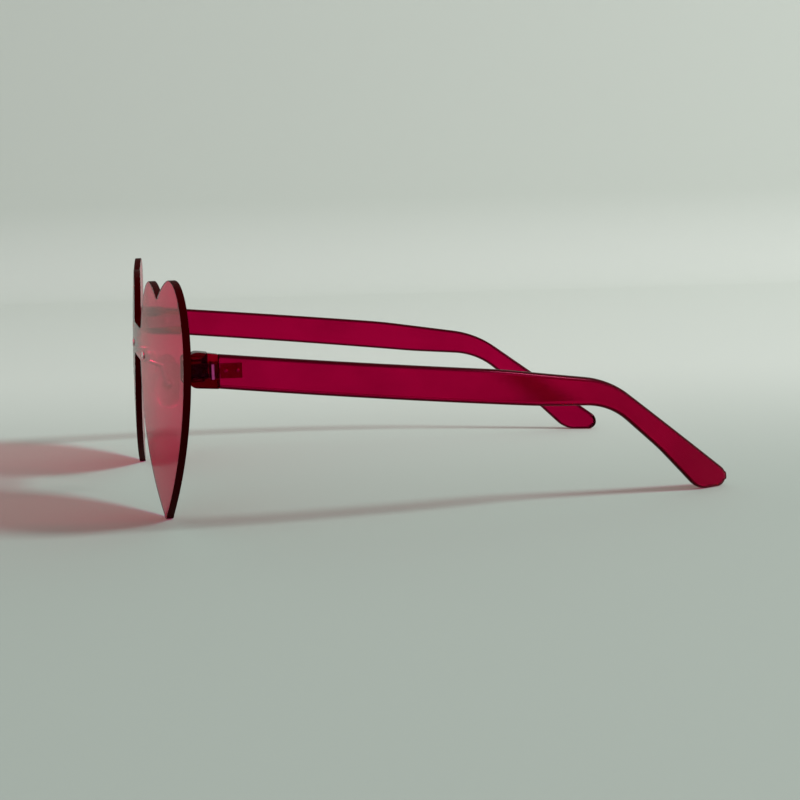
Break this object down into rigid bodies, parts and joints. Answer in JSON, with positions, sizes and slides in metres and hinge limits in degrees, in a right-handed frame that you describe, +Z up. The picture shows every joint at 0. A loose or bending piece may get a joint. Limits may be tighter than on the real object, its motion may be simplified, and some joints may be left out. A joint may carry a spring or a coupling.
{
  "type": "heart shaped sunglasses",
  "caption": "Rimless folding sunglasses cut from a domed translucent sheet as two joined hearts, with bowed plastic temples on small metal hinges and wire-mounted nose pads.",
  "frame": {"origin": "middle of the bounding box at table height; the heart tips and the ends of the temples rest at z = 0", "axes": "+Z up, -Y the way the wearer looks (the hearts are at the -Y end), +X the wearer's left; the YZ plane is the plane of symmetry"},
  "size_m": [0.1398, 0.1412, 0.0571],
  "materials": {
    "lens_plastic": "clear pink tinted sheet, polished on both faces",
    "temple_plastic": "clear magenta plastic, polished",
    "steel": "bright, lightly brushed",
    "pad_silicone": "clear soft silicone"
  },
  "bodies": {
    "front": {"front_lens": "lens_plastic", "left_end_piece": "temple_plastic", "left_lens_pins": "temple_plastic", "left_front_hinge_leaf": "steel", "left_hinge_screw": "steel", "left_nose_pad_arm": "steel", "left_nose_pad": "pad_silicone", "left_nose_pad_screw": "steel", "right_end_piece": "temple_plastic", "right_lens_pins": "temple_plastic", "right_front_hinge_leaf": "steel", "right_hinge_screw": "steel", "right_nose_pad_arm": "steel", "right_nose_pad": "pad_silicone", "right_nose_pad_screw": "steel"},
    "left_arm": {"left_temple": "temple_plastic", "left_temple_hinge_leaf": "steel"},
    "right_arm": {"right_temple": "temple_plastic", "right_temple_hinge_leaf": "steel"}
  },
  "joints": [
    {"name": "left_temple_fold", "type": "hinge", "parent": "front", "child": "left_arm", "pos_m": [0.06516, -0.05821, 0.0376], "axis": [0, 0, 1], "range_deg": [0, 84]},
    {"name": "right_temple_fold", "type": "hinge", "parent": "front", "child": "right_arm", "pos_m": [-0.06516, -0.05821, 0.0376], "axis": [0, 0, -1], "range_deg": [0, 78]}
  ]
}
